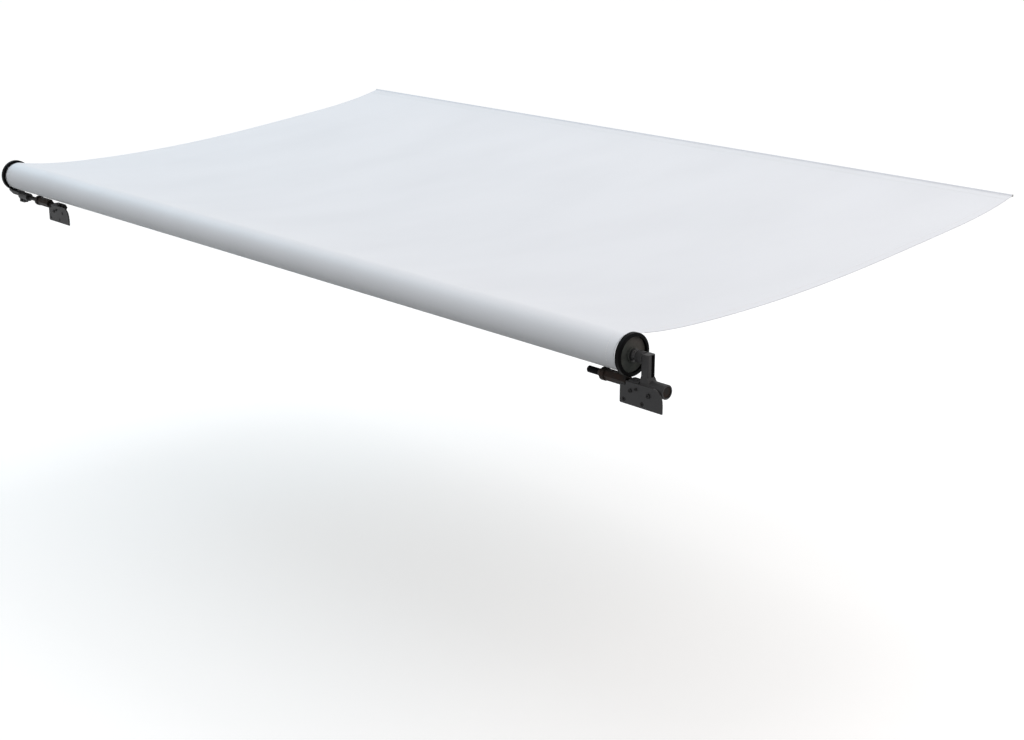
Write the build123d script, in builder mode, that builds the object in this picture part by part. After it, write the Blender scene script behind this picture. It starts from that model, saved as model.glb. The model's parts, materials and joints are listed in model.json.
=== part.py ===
from build123d import *
import math
import os

# Slide topper awning, sizes in millimetres.
# +X runs along the roller towards its right end, +Y points at the vehicle wall, +Z is up.
# The origin is midway between the two wall screws of the right bracket, on its back face.

# Roller tube and the two rope grooves inside its wall
roller_length = 2580.0
tube_radius = 38.1
tube_wall = 1.8
rope_radius = 3.0
rope_clearance = 0.4
groove_wall = 1.6
groove_sink = 0.3
groove_slot = 3.0
groove_count = 2
groove_start = 90.0

# Where the roller stands above and behind the bracket holes
roller_back = 16.0
roller_height = 89.0
roller_inset = 17.25

# Cloth
cloth = 0.5
cloth_turns = 2
cloth_inset = 20.0
cloth_gap = 0.3
leave_angle = 11.0
wall_distance = 1384.0
wall_rise = 129.0
hem_pitch = 14.0
hem_tail = 28.0
hem_rope_radius = 2.75
hem_rope_inset = 2.0
hem_clearance = 0.05
sag_low = (240.0, 20.3)
sag_middle = (650.0, 34.6)
sag_rise = (1060.0, 76.0)

# End caps
cap_radius = 45.0
cap_flange = 12.0
cap_rim = 7.5
cap_recess = 6.5
cap_edge = 1.2
hub_radius = 16.0
hub_drop = 1.0
hub_length = 18.0
spigot_length = 34.0
spigot_wall = 3.0
spigot_clearance = 0.4
rib_count = 4
rib_width = 3.0
cap_screw_count = 4
cap_screw_start = 45.0
cap_screw_back = 4.2
cap_screw_radius = 2.0
cap_screw_head = 3.3
cap_screw_height = 1.6
cap_screw_grip = 6.0
screw_clearance = 0.1

# Shafts and their bushes
shaft_radius = 8.0
shaft_square = 12.0
square_clearance = 0.1
bush_wall = 3.0
bush_length = 29.0
bush_flange = 2.0
bush_flange_radius = 14.0
running_clearance = 0.06
seat_clearance = 0.04
washer_thickness = 2.0
washer_radius = 13.0
axial_gap = 0.3
collar_radius = 10.5
clip_width = 1.6
clip_depth = 0.8
clip_radius = 11.0
clip_opening = 9.0
clip_room = 3.0
stub_tail = 8.0

# Torsion spring, its plug in the tube and its anchor on the shaft
wire_radius = 1.9
wire_sides = 8
spring_radius = 16.5
spring_pitch = 11.0
spring_turns = 12
spring_leg = 12.0
gap_steps = 48
leg_clearance = 0.3
plug_length = 16.0
plug_distance = 52.0
plug_bore_clearance = 2.0
anchor_length = 22.0
anchor_radius = 23.0
anchor_pin_radius = 2.5
guide_length = 14.0
guide_distance = 20.0
guide_tail = 4.0

# Bracket plates
plate_width = 114.0
plate_thickness = 4.0
plate_drop = 9.0
plate_top = 39.0
plate_step = 9.0
plate_step_width = 16.0
plate_corner = 26.0
plate_small_corner = 3.0
plate_edge = 0.8
plate_setback = 254.0
seat_step = 0.5
seat_gap = 1.0
wall_hole_spacing = 49.5
wall_hole_inset = 12.0
wall_hole_radius = 3.25
wall_hole_sink = 5.5
sink_angle = 90.0

# Rod, its housing, handle and cap
rod_radius = 6.0
rod_height = 32.0
rod_clearance = 0.05
housing_left = 21.0
housing_length = 26.0
housing_radius = 11.0
housing_base = 16.0
housing_shoulder = 5.0
housing_screw_insets = (8.0, 23.0)
housing_screw_heights = (21.0, 27.0)
housing_screw_radii = (2.5, 2.0)
housing_screw_grip = 9.0
screw_head_ratio = 1.7
screw_head_height = 2.2
socket_ratio = 0.55
socket_depth = 1.3
handle_nose = 9.0
handle_collar = 12.0
handle_body = 60.0
handle_collar_radius = 14.0
handle_flats = 22.0
handle_mouth = 7.4
handle_gaps = {"right": 14.5, "left": 46.5}
handle_edge = 1.0
handle_pin_radius = 1.5
rod_cap_length = 32.0
rod_cap_radius = 7.2
rod_cap_depth = 26.0
rod_nut_flats = 19.0
rod_nut_length = 8.0
rod_gap = 1.0
rod_nut_reach = 2.0
rod_edge = 0.8

# Arms
arm_gap = 12.0
boss_radius = 13.0
boss_length = 16.5
post_width = 21.0
post_top = 10.5
post_thickness = 19.0
post_edge = 2.0
pocket_width = 9.5
pocket_flange = 1.6
pocket_depth = 13.0
pocket_foot = 3.0
right_socket = 20.0
grub_radius = 2.5
grub_length = 6.0
grub_insets = {"right": 8.0, "left": 6.0}
sleeve_radius = 15.3
sleeve_length = 62.0
sleeve_gap = 1.0
sleeve_edge = 1.5
sleeve_floor = 8.0
flare = 5.0
arm_screw_inset = 78.0
arm_screw_height = 21.0
arm_screw_radius = 3.0
arm_screw_grip = 10.0
pad_half = 9.0
plug_radius = 11.5
plug_depth = 4.0
plug_drop = 1.2
plug_clearance = 0.1

left_post_thickness = 14.0
left_socket = 11.0
leg_gap = 2.0
leg_thickness = 10.0
leg_slope_rise = 8.0
leg_slope_end = 0.0
leg_bend = 6.0
foot_inset = 31.0
foot_length = 49.0
foot_radius = 11.5
ear_width = 26.0
ear_depth = 14.0
ear_drop = 18.5
ear_slot = 2.0
pinch_radius = 2.5
pinch_drop = 13.0
pinch_head = 4.0
pinch_head_height = 3.5

# Places that follow from the sizes above
right_face = -roller_inset
plate_pitch = roller_length - plate_setback
left_face = right_face - roller_length
wraps_radius = tube_radius + cloth * cloth_turns
tube_inside = tube_radius - tube_wall
groove_radius = rope_radius + rope_clearance
groove_boss = groove_radius + groove_wall
groove_centre = tube_radius - groove_boss - groove_sink
spigot_radius = tube_inside - spigot_clearance
cloth_width = roller_length - 2 * cloth_inset
cloth_right = right_face - cloth_inset
bush_radius = shaft_radius + running_clearance + bush_wall
bush_out = bush_flange - hub_drop
washer_in = bush_out + axial_gap
clip_in = hub_drop + bush_length + axial_gap
plate_left = -wall_hole_inset - wall_hole_spacing / 2
seat_top = arm_screw_height - pad_half - seat_gap
screw_x = cap_flange + cap_screw_back
pocket_centre = post_width / 2 - pocket_flange - pocket_width / 2
housing_right = plate_left + housing_left + housing_length
sleeve_left = housing_right + sleeve_gap
handle_length = handle_nose + handle_collar + handle_body
sides = {"right": 1, "left": -1}
sockets = {"right": right_socket, "left": left_socket}
plate_shifts = {"right": 0.0, "left": -plate_pitch}
handle_rights = {name: plate_left + plate_shifts[name] + housing_left - handle_gaps[name] for name in sides}


def along(x, y, z):
    """Plane square to X at a point, with its own x along +Y and its own y along +Z."""
    return Plane(origin=(x, y, z), x_dir=(0, 1, 0), z_dir=(1, 0, 0))


def roller_plane(x):
    """Plane square to the roller's axis."""
    return along(x, roller_back, roller_height)


def rod_plane(x):
    """Plane square to the rods' axis."""
    return along(x, roller_back, rod_height)


def end_plane(side, out):
    """Plane on one end of the roller, facing outwards, a distance out from the cap's face."""
    face = right_face if side > 0 else left_face
    return Plane(
        origin=(face + side * out, roller_back, roller_height),
        x_dir=(0, side, 0),
        z_dir=(side, 0, 0),
    )


def radial_plane(side, back, angle, radius):
    """Plane that faces away from the roller's axis, at an angle round it and behind the cap's face."""
    face = right_face if side > 0 else left_face
    turn = math.radians(angle)
    way = Vector(0, math.cos(turn), math.sin(turn))
    centre = Vector(face - side * back, roller_back, roller_height) + way * radius
    return Plane(origin=centre, x_dir=(1, 0, 0), z_dir=way)


def write(piece, name):
    """Label a finished piece and write it under its own name."""
    piece.label = name
    export_step(piece, f"parts/{name}.step")
    print(name, round(piece.volume), "mm3")


def screw_angles():
    """Angles of the cap screws round the roller."""
    return [cap_screw_start + 360 / cap_screw_count * i for i in range(cap_screw_count)]


def groove_places():
    """Locations of the rope grooves in a sketch square to the roller."""
    return PolarLocations(groove_centre, groove_count, start_angle=groove_start)


os.makedirs("parts", exist_ok=True)


# Roller tube: a thin wall with two rope grooves let into it

with BuildPart() as roller_tube:
    with BuildSketch(roller_plane(left_face + cap_flange)):
        Circle(tube_radius)
        Circle(tube_inside, mode=Mode.SUBTRACT)
        with groove_places():
            Circle(groove_boss)
            Circle(groove_radius, mode=Mode.SUBTRACT)
        with PolarLocations(groove_centre, groove_count, start_angle=groove_start):
            Rectangle(
                groove_boss + groove_sink + cloth,
                groove_slot,
                align=(Align.MIN, Align.CENTER),
                mode=Mode.SUBTRACT,
            )
    extrude(amount=roller_length - 2 * cap_flange)
    for side in sides.values():
        for angle in screw_angles():
            with BuildSketch(radial_plane(side, screw_x, angle, tube_inside - tube_wall)):
                Circle(cap_screw_radius + screw_clearance)
            extrude(amount=3 * tube_wall, mode=Mode.SUBTRACT)
write(roller_tube.part, "roller_tube")

with BuildPart() as roller_rope:
    with BuildSketch(along(cloth_right - cloth_width, roller_back, roller_height - groove_centre)):
        Circle(rope_radius)
    extrude(amount=cloth_width)
write(roller_rope.part, "roller_rope")


# Cloth: the turns wound on the tube, and the sheet that runs to the vehicle wall

with BuildPart() as fabric_wraps:
    with BuildSketch(roller_plane(cloth_right - cloth_width)):
        Circle(wraps_radius)
        Circle(tube_radius + seat_clearance, mode=Mode.SUBTRACT)
    extrude(amount=cloth_width)
write(fabric_wraps.part, "fabric_wraps")

leave = math.radians(leave_angle)
pitch = math.radians(hem_pitch)
hem_outside = hem_rope_radius + hem_clearance + cloth
leave_radius = wraps_radius + cloth_gap
leave_point = (leave_radius * math.sin(leave), leave_radius * math.cos(leave))
hem_centre = (wall_distance - hem_outside, wall_rise)
tail_reach = hem_outside + hem_tail
sheet_end = (
    hem_centre[0] - (tail_reach + cloth_gap) * math.cos(pitch),
    hem_centre[1] - (tail_reach + cloth_gap) * math.sin(pitch) - cloth / 2,
)
sheet_points = (leave_point, sag_low, sag_middle, sag_rise, sheet_end)
leave_way = (math.cos(leave), -math.sin(leave))
hem_way = (math.cos(pitch), math.sin(pitch))

with BuildPart() as fabric_panel:
    with BuildSketch(roller_plane(cloth_right - cloth_width)):
        with BuildLine():
            under = Spline(*sheet_points, tangents=(leave_way, hem_way))
            over = Spline(*[(y, z + cloth) for y, z in sheet_points], tangents=(leave_way, hem_way))
            Line(under @ 0, over @ 0)
            Line(under @ 1, over @ 1)
        make_face()
    extrude(amount=cloth_width)
write(fabric_panel.part, "fabric_panel")

with BuildPart() as wall_hem:
    with BuildSketch(roller_plane(cloth_right - cloth_width)):
        with Locations(hem_centre):
            Circle(hem_outside)
            Rectangle(
                tail_reach,
                2 * cloth,
                rotation=hem_pitch,
                align=(Align.MAX, Align.CENTER),
            )
            Circle(hem_outside - cloth, mode=Mode.SUBTRACT)
    extrude(amount=cloth_width)
write(wall_hem.part, "wall_hem")

with BuildPart() as wall_rope:
    with BuildSketch(
        along(
            cloth_right - cloth_width + hem_rope_inset,
            roller_back + hem_centre[0],
            roller_height + hem_centre[1],
        )
    ):
        Circle(hem_rope_radius)
    extrude(amount=cloth_width - 2 * hem_rope_inset)
write(wall_rope.part, "wall_rope")


# End caps with their screws, bushes and thrust washers

def end_cap(side):
    """Moulded cap: raised rim, sunk face, hub, ribbed spigot that fits inside the tube."""
    spigot_top = end_plane(side, -cap_flange)
    with BuildPart() as cap:
        with BuildSketch(spigot_top):
            Circle(cap_radius)
        extrude(amount=cap_flange)
        chamfer(cap.edges().filter_by(GeomType.CIRCLE), length=cap_edge)
        with BuildSketch(end_plane(side, 0)):
            Circle(cap_radius - cap_rim)
        extrude(amount=-cap_recess, mode=Mode.SUBTRACT)
        with BuildSketch(end_plane(side, -cap_recess)):
            Circle(hub_radius)
        extrude(amount=cap_recess - hub_drop)
        with BuildSketch(spigot_top):
            Circle(spigot_radius)
            Circle(spigot_radius - spigot_wall, mode=Mode.SUBTRACT)
            with PolarLocations((spigot_radius - spigot_wall) / 2, rib_count, start_angle=cap_screw_start):
                Rectangle(spigot_radius - spigot_wall + rib_width / 2, rib_width)
            with groove_places():
                Circle(groove_boss + spigot_clearance, mode=Mode.SUBTRACT)
        extrude(amount=-spigot_length)
        with BuildSketch(spigot_top):
            Circle(hub_radius)
        extrude(amount=-hub_length)
        with BuildSketch(end_plane(side, 0)):
            Circle(bush_radius + seat_clearance)
        extrude(amount=-cap_flange - spigot_length, mode=Mode.SUBTRACT)
        with BuildSketch(end_plane(side, -cap_flange - hub_length)):
            Circle(clip_radius + clip_room)
        extrude(amount=hub_length - spigot_length, mode=Mode.SUBTRACT)
        for angle in screw_angles():
            with BuildSketch(radial_plane(side, screw_x, angle, spigot_radius)):
                Circle(cap_screw_radius + screw_clearance)
            extrude(amount=-cap_screw_grip - spigot_wall, mode=Mode.SUBTRACT)
    return cap.part


def bush(side):
    """Plain flanged bush pressed in the cap's hub, running on the shaft."""
    with BuildPart() as ring:
        with BuildSketch(end_plane(side, -hub_drop)):
            Circle(bush_radius)
        extrude(amount=-bush_length)
        with BuildSketch(end_plane(side, -hub_drop)):
            Circle(bush_flange_radius)
        extrude(amount=bush_flange)
        with BuildSketch(end_plane(side, bush_out)):
            Circle(shaft_radius + running_clearance)
        extrude(amount=-bush_length - bush_flange, mode=Mode.SUBTRACT)
    return ring.part


for name, side in sides.items():
    write(end_cap(side), f"{name}_end_cap")
    write(bush(side), f"{name}_bush")

with BuildPart() as end_cap_screws:
    for side in sides.values():
        for angle in screw_angles():
            with BuildSketch(radial_plane(side, screw_x, angle, tube_radius)):
                Circle(cap_screw_radius)
            extrude(amount=-tube_wall - cap_screw_grip)
            with BuildSketch(radial_plane(side, screw_x, angle, tube_radius)):
                Circle(cap_screw_head)
            extrude(amount=cap_screw_height)
write(end_cap_screws.part, "end_cap_screws")

with BuildPart() as thrust_washers:
    for side in sides.values():
        with BuildSketch(end_plane(side, washer_in)):
            Circle(washer_radius)
            Circle(shaft_radius + seat_clearance, mode=Mode.SUBTRACT)
        extrude(amount=washer_thickness)
write(thrust_washers.part, "thrust_washers")


# Shafts: a short one on the right, a long one through the spring on the left

collar_in = washer_in + washer_thickness
guide_face = plug_distance + plug_length + spring_turns * spring_pitch + anchor_length + guide_distance
shaft_reach = {
    "right": clip_in + clip_width + stub_tail,
    "left": guide_face + guide_length + guide_tail,
}


def shaft(name):
    """Round shaft with a square end for the arm, a collar and a groove for its clip."""
    side = sides[name]
    with BuildPart() as bar:
        with BuildSketch(end_plane(side, arm_gap)):
            Circle(shaft_radius)
        extrude(amount=-arm_gap - shaft_reach[name])
        with BuildSketch(end_plane(side, collar_in)):
            Circle(collar_radius)
        extrude(amount=arm_gap - collar_in)
        with BuildSketch(end_plane(side, arm_gap)):
            Rectangle(shaft_square, shaft_square)
        extrude(amount=sockets[name] - square_clearance)
        with BuildSketch(end_plane(side, -clip_in)):
            Circle(shaft_radius)
            Circle(shaft_radius - clip_depth, mode=Mode.SUBTRACT)
        extrude(amount=-clip_width, mode=Mode.SUBTRACT)
        if name == "left":
            with BuildSketch(anchor_pin_plane(anchor_radius)):
                Circle(anchor_pin_radius + seat_clearance)
            extrude(amount=-2 * anchor_radius, mode=Mode.SUBTRACT)
    return bar.part


def anchor_pin_plane(height):
    """Plane facing up at a height over the left shaft, on the middle of the spring's anchor."""
    depth = guide_face - guide_distance - anchor_length / 2
    return Plane(
        origin=(left_face + depth, roller_back, roller_height + height),
        x_dir=(1, 0, 0),
        z_dir=(0, 0, 1),
    )


write(shaft("right"), "right_stub_shaft")
write(shaft("left"), "left_spring_shaft")

with BuildPart() as shaft_clips:
    for side in sides.values():
        with BuildSketch(end_plane(side, -clip_in - seat_clearance)):
            Circle(clip_radius)
            Circle(shaft_radius - clip_depth + seat_clearance, mode=Mode.SUBTRACT)
            Rectangle(
                clip_opening,
                clip_radius,
                align=(Align.CENTER, Align.MAX),
                mode=Mode.SUBTRACT,
            )
        extrude(amount=-clip_width + 2 * seat_clearance)
write(shaft_clips.part, "shaft_clips")


# Torsion spring: one wire wound round the left shaft, with a straight leg at each end

spring_start = Vector(left_face + plug_distance + plug_length, roller_back, roller_height)
helix_angle = math.atan(spring_pitch / (2 * math.pi * spring_radius))
leg_seat = wire_radius + leg_clearance + spring_leg * math.sin(helix_angle)


def helix_point(turn):
    """Point on the wire's centre line after a number of turns from the plug's end."""
    swing = 2 * math.pi * turn
    spoke = Vector(0, -math.sin(swing), math.cos(swing))
    return spring_start + spoke * spring_radius + Vector(spring_pitch * turn, 0, 0)


with BuildPart() as torsion_spring:
    with BuildLine() as wire_line:
        Helix(
            spring_pitch,
            spring_pitch * spring_turns,
            spring_radius,
            center=spring_start,
            direction=(1, 0, 0),
        )
    with BuildSketch(Plane(origin=wire_line.line @ 0, z_dir=wire_line.line % 0)):
        RegularPolygon(wire_radius, wire_sides)
    sweep(path=wire_line.line, is_frenet=True)
    wire_ends = torsion_spring.faces().filter_by(GeomType.PLANE).sort_by(Axis.X)
    extrude(wire_ends[0], amount=spring_leg)
    extrude(wire_ends[-1], amount=spring_leg)
write(torsion_spring.part, "torsion_spring")
nearest = min(
    (helix_point(turn / gap_steps) - helix_point(other / gap_steps)).length
    for turn in range(2 * gap_steps)
    for other in range(turn - gap_steps // 2)
)
print("least gap between spring turns", round(nearest - 2 * wire_radius, 2))


def tube_insert(back, length, bore):
    """Plug that fills the tube's section round its grooves, behind the left cap's face."""
    with BuildPart() as insert:
        with BuildSketch(end_plane(-1, -back)):
            Circle(spigot_radius)
            Circle(bore, mode=Mode.SUBTRACT)
            with groove_places():
                Circle(groove_boss + spigot_clearance, mode=Mode.SUBTRACT)
        extrude(amount=-length)
    return insert.part


write(
    tube_insert(plug_distance, plug_length - leg_seat, shaft_radius + plug_bore_clearance),
    "spring_plug",
)
write(tube_insert(guide_face, guide_length, shaft_radius + running_clearance), "inner_guide")

with BuildPart() as spring_anchor:
    with BuildSketch(end_plane(-1, -guide_face + guide_distance)):
        Circle(anchor_radius)
        Circle(shaft_radius + seat_clearance, mode=Mode.SUBTRACT)
    extrude(amount=anchor_length - leg_seat)
    with BuildSketch(anchor_pin_plane(anchor_radius)):
        Circle(anchor_pin_radius + seat_clearance)
    extrude(amount=-2 * anchor_radius, mode=Mode.SUBTRACT)
write(spring_anchor.part, "spring_anchor")

with BuildPart() as anchor_pin:
    with BuildSketch(anchor_pin_plane(anchor_radius - plate_edge)):
        Circle(anchor_pin_radius)
    extrude(amount=-2 * (anchor_radius - plate_edge))
write(anchor_pin.part, "anchor_pin")


# Brackets: a plate on the wall, a housing behind it and a rod through the housing

def wall_plane(x, out, z=0.0):
    """Plane on the plates' side of the wall, a distance out from it, with its y along +Z."""
    return Plane(origin=(x, -out, z), x_dir=(1, 0, 0), z_dir=(0, -1, 0))


def housing_screw_places(name):
    """Centre and radius of each screw that holds a housing to its plate."""
    left = plate_left + plate_shifts[name] + housing_left
    return [
        (left + inset, height, radius)
        for inset, height, radius in zip(housing_screw_insets, housing_screw_heights, housing_screw_radii)
    ]


def base_plate(name):
    """Flat plate with a lower left end, a large round corner and a raised seat low on its back."""
    left = plate_left + plate_shifts[name]
    right = left + plate_width
    with BuildPart() as plate:
        with BuildSketch(wall_plane(0, 0)) as outline:
            with BuildLine():
                Polyline(
                    (left, -plate_drop),
                    (right, -plate_drop),
                    (right, plate_top),
                    (left + plate_step_width, plate_top),
                    (left + plate_step_width, plate_top - plate_step),
                    (left, plate_top - plate_step),
                    close=True,
                )
            make_face()
            large = outline.vertices().sort_by(Axis.X)[-2:].sort_by(Axis.Y)[-1:]
            fillet(large, radius=plate_corner)
            small = outline.vertices().filter_by(lambda corner: corner.X < right - plate_corner)
            fillet(small.group_by(Axis.X)[0], radius=plate_small_corner)
        extrude(amount=plate_thickness)
        front = plate.faces().sort_by(Axis.Y)[0]
        chamfer(front.edges(), length=plate_edge)
        with BuildSketch(wall_plane(left, 0, seat_top)):
            Rectangle(plate_width, plate_top - seat_top, align=(Align.MIN, Align.MIN))
        extrude(amount=seat_step, mode=Mode.SUBTRACT)
        with Locations(wall_plane(plate_shifts[name], plate_thickness)):
            with GridLocations(wall_hole_spacing, 0, 2, 1):
                CounterSinkHole(wall_hole_radius, wall_hole_sink, counter_sink_angle=sink_angle)
        for x, height, radius in housing_screw_places(name) + [arm_screw_place(name)]:
            with Locations(wall_plane(x, plate_thickness, height)):
                Hole(radius + screw_clearance)
    return plate.part


def arm_screw_place(name):
    """Centre and radius of the screw hole that the right arm uses and the left plate repeats."""
    return (plate_left + plate_shifts[name] + arm_screw_inset, arm_screw_height, arm_screw_radius)


def rod_housing(name):
    """Block behind the plate, rounded over the rod that passes through it."""
    left = plate_left + plate_shifts[name] + housing_left
    with BuildPart() as housing:
        with BuildSketch(rod_plane(left)) as profile:
            with Locations((-roller_back - seat_step, -housing_base)):
                Rectangle(
                    roller_back + seat_step,
                    housing_base + housing_radius,
                    align=(Align.MIN, Align.MIN),
                )
            low = profile.vertices().group_by(Axis.Y)[0].sort_by(Axis.X)[-1:]
            high = profile.vertices().group_by(Axis.Y)[-1].sort_by(Axis.X)[:1]
            fillet(low + high, radius=housing_shoulder)
            Circle(housing_radius)
            Circle(rod_radius + rod_clearance, mode=Mode.SUBTRACT)
        extrude(amount=housing_length)
        for x, height, radius in housing_screw_places(name):
            with BuildSketch(wall_plane(x, seat_step, height)):
                Circle(radius + screw_clearance)
            extrude(amount=-seat_step - housing_screw_grip - screw_clearance, mode=Mode.SUBTRACT)
    return housing.part


def plate_screws(places, grip):
    """Round-headed screws through a plate from its front, each given by its centre and radius."""
    with BuildPart() as screws:
        for x, height, radius in places:
            head = radius * screw_head_ratio
            with BuildSketch(wall_plane(x, plate_thickness, height)):
                Circle(radius)
            extrude(amount=-plate_thickness - grip)
            with BuildSketch(wall_plane(x, plate_thickness, height)):
                Circle(head)
            extrude(amount=screw_head_height)
            with BuildSketch(wall_plane(x, plate_thickness + screw_head_height, height)):
                RegularPolygon(head * socket_ratio, 6)
            extrude(amount=-socket_depth, mode=Mode.SUBTRACT)
    return screws.part


def rod_handle(name):
    """Turning handle on the rod: a cone-shaped nose, a round collar and a six-sided grip."""
    left = handle_rights[name] - handle_length
    collar_left = left + handle_nose
    grip_left = collar_left + handle_collar
    with BuildPart() as handle:
        with Locations(rod_plane(left)):
            Cone(
                handle_mouth,
                handle_collar_radius - 2 * handle_edge,
                handle_nose,
                align=(Align.CENTER, Align.CENTER, Align.MIN),
            )
        with BuildSketch(rod_plane(collar_left)):
            Circle(handle_collar_radius)
        extrude(amount=handle_collar)
        rims = handle.edges().filter_by(GeomType.CIRCLE)
        rims = rims.filter_by(lambda rim: rim.radius > handle_collar_radius - handle_edge / 2)
        chamfer(rims, length=handle_edge)
        with BuildSketch(rod_plane(grip_left)):
            RegularPolygon(handle_flats / 2, 6, major_radius=False)
        extrude(amount=handle_body)
        chamfer(handle.faces().sort_by(Axis.X)[-1].edges(), length=handle_edge)
        with BuildSketch(rod_plane(left)):
            Circle(rod_radius + rod_clearance)
        extrude(amount=handle_length, mode=Mode.SUBTRACT)
        with BuildSketch(handle_pin_plane(name)):
            Circle(handle_pin_radius + rod_clearance)
        extrude(amount=-handle_flats, mode=Mode.SUBTRACT)
    return handle.part


def handle_pin_plane(name):
    """Plane on the upper flat of a handle's grip, over the middle of the grip."""
    x = handle_rights[name] - handle_body / 2
    return Plane(origin=(x, roller_back, rod_height + handle_flats / 2), x_dir=(1, 0, 0), z_dir=(0, 0, 1))


sleeve_right = sleeve_left + sleeve_length
plug_seat = sleeve_right - plug_drop - plug_depth
rod_cap_right = handle_rights["right"] - handle_length - rod_gap
foot_left = left_face + foot_inset
rod_nut_left = housing_right - plate_pitch + rod_gap
rod_spans = {
    "right": (rod_cap_right - rod_cap_depth, plug_seat - sleeve_floor),
    "left": (foot_left + rod_gap, rod_nut_left + rod_nut_length + rod_nut_reach),
}


def clamp_rod(name):
    """Round bar with bevelled ends, drilled for the handle's pin."""
    start, end = rod_spans[name]
    with BuildPart() as rod:
        with BuildSketch(rod_plane(start)):
            Circle(rod_radius)
        extrude(amount=end - start)
        chamfer(rod.edges().filter_by(GeomType.CIRCLE), length=rod_edge)
        with BuildSketch(handle_pin_plane(name)):
            Circle(handle_pin_radius + rod_clearance)
        extrude(amount=-handle_flats, mode=Mode.SUBTRACT)
    return rod.part


for name in sides:
    write(base_plate(name), f"{name}_base_plate")
    write(rod_housing(name), f"{name}_rod_housing")
    write(rod_handle(name), f"{name}_rod_handle")
    write(clamp_rod(name), f"{name}_clamp_rod")

all_housing_screws = housing_screw_places("right") + housing_screw_places("left")
write(plate_screws(all_housing_screws, housing_screw_grip), "housing_screws")
write(plate_screws([arm_screw_place("right")], arm_screw_grip), "arm_screw")

with BuildPart() as handle_pins:
    for name in sides:
        with BuildSketch(handle_pin_plane(name).offset(-handle_edge)):
            Circle(handle_pin_radius)
        extrude(amount=2 * handle_edge - handle_flats)
write(handle_pins.part, "handle_pins")

with BuildPart() as rod_cap:
    with BuildSketch(rod_plane(rod_cap_right - rod_cap_length)):
        Circle(rod_cap_radius)
    extrude(amount=rod_cap_length)
    chamfer(rod_cap.edges().group_by(Axis.X)[0], length=rod_cap_radius / 3)
    with BuildSketch(rod_plane(rod_cap_right)):
        Circle(rod_radius + rod_clearance)
    extrude(amount=-rod_cap_depth, mode=Mode.SUBTRACT)
write(rod_cap.part, "rod_cap")

with BuildPart() as rod_nut:
    with BuildSketch(rod_plane(rod_nut_left)):
        RegularPolygon(rod_nut_flats / 2, 6, major_radius=False)
        Circle(rod_radius + rod_clearance, mode=Mode.SUBTRACT)
    extrude(amount=rod_nut_length)
write(rod_nut.part, "rod_nut")


# Right arm: a casting with a boss for the shaft, a hollow post and a sleeve on the rod

def grub_plane(name):
    """Plane over the boss of an arm, on the line of the screw that holds the shaft's square end."""
    side = sides[name]
    face = right_face if side > 0 else left_face
    return Plane(
        origin=(face + side * (arm_gap + grub_insets[name]), roller_back, roller_height + boss_radius),
        x_dir=(1, 0, 0),
        z_dir=(0, 0, 1),
    )


post_height = roller_height + post_top
pad_x, pad_z, pad_hole = arm_screw_place("right")
with BuildPart() as right_arm:
    with BuildSketch(rod_plane(sleeve_left)):
        Rectangle(post_width, post_height - rod_height, align=(Align.CENTER, Align.MIN))
    extrude(amount=post_thickness)
    fillet(right_arm.edges().filter_by(Axis.Z), radius=post_edge)
    with BuildSketch(rod_plane(sleeve_left)):
        Circle(sleeve_radius)
    extrude(amount=sleeve_length)
    with BuildSketch(Plane.XY.offset(rod_height + sleeve_radius / 2)):
        with Locations((sleeve_left, roller_back)):
            Rectangle(
                post_thickness + flare,
                math.sqrt(3) * sleeve_radius,
                align=(Align.MIN, Align.CENTER),
            )
    with BuildSketch(Plane.XY.offset(rod_height + sleeve_radius + flare)):
        with Locations((sleeve_left, roller_back)):
            Rectangle(post_thickness, post_width, align=(Align.MIN, Align.CENTER))
    loft()
    with BuildSketch(end_plane(1, arm_gap)):
        Circle(boss_radius)
    extrude(amount=boss_length + post_edge)
    with Locations(Location((pad_x, -seat_step, pad_z))):
        Box(
            2 * pad_half,
            seat_step + roller_back,
            2 * pad_half,
            align=(Align.CENTER, Align.MIN, Align.CENTER),
        )
    with BuildSketch(rod_plane(sleeve_right)):
        Circle(plug_radius + plug_clearance)
    extrude(amount=-plug_drop - plug_depth, mode=Mode.SUBTRACT)
    rim = right_arm.edges().filter_by(GeomType.CIRCLE).group_by(Axis.X)[-1]
    fillet(rim.sort_by(SortBy.RADIUS)[-1:], radius=sleeve_edge)
    with BuildSketch(rod_plane(sleeve_left)):
        Circle(rod_radius + rod_clearance)
    extrude(amount=plug_seat - sleeve_floor - sleeve_left, mode=Mode.SUBTRACT)
    with BuildSketch(end_plane(1, arm_gap)):
        Rectangle(shaft_square + 2 * square_clearance, shaft_square + 2 * square_clearance)
    extrude(amount=right_socket, mode=Mode.SUBTRACT)
    pocket_low = rod_height + sleeve_radius + pocket_foot
    pocket_high = post_height - pocket_flange
    with BuildSketch(along(sleeve_left + post_thickness, roller_back + pocket_centre, pocket_low)):
        Rectangle(pocket_width, pocket_high - pocket_low, align=(Align.CENTER, Align.MIN))
    extrude(amount=-pocket_depth, mode=Mode.SUBTRACT)
    with BuildSketch(grub_plane("right")):
        Circle(grub_radius)
    extrude(amount=shaft_square / 2 - boss_radius, mode=Mode.SUBTRACT)
    with BuildSketch(wall_plane(pad_x, seat_step, pad_z)):
        Circle(arm_screw_radius + screw_clearance)
    extrude(amount=-seat_step - arm_screw_grip - screw_clearance, mode=Mode.SUBTRACT)
write(right_arm.part, "right_arm")

with BuildPart() as sleeve_plug:
    with BuildSketch(rod_plane(plug_seat)):
        Circle(plug_radius)
    extrude(amount=plug_depth)
    chamfer(sleeve_plug.edges().group_by(Axis.X)[-1], length=plate_edge)
write(sleeve_plug.part, "sleeve_plug")


# Left arm: a casting outside the roller's end that bends under it to a split foot on the rod

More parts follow.
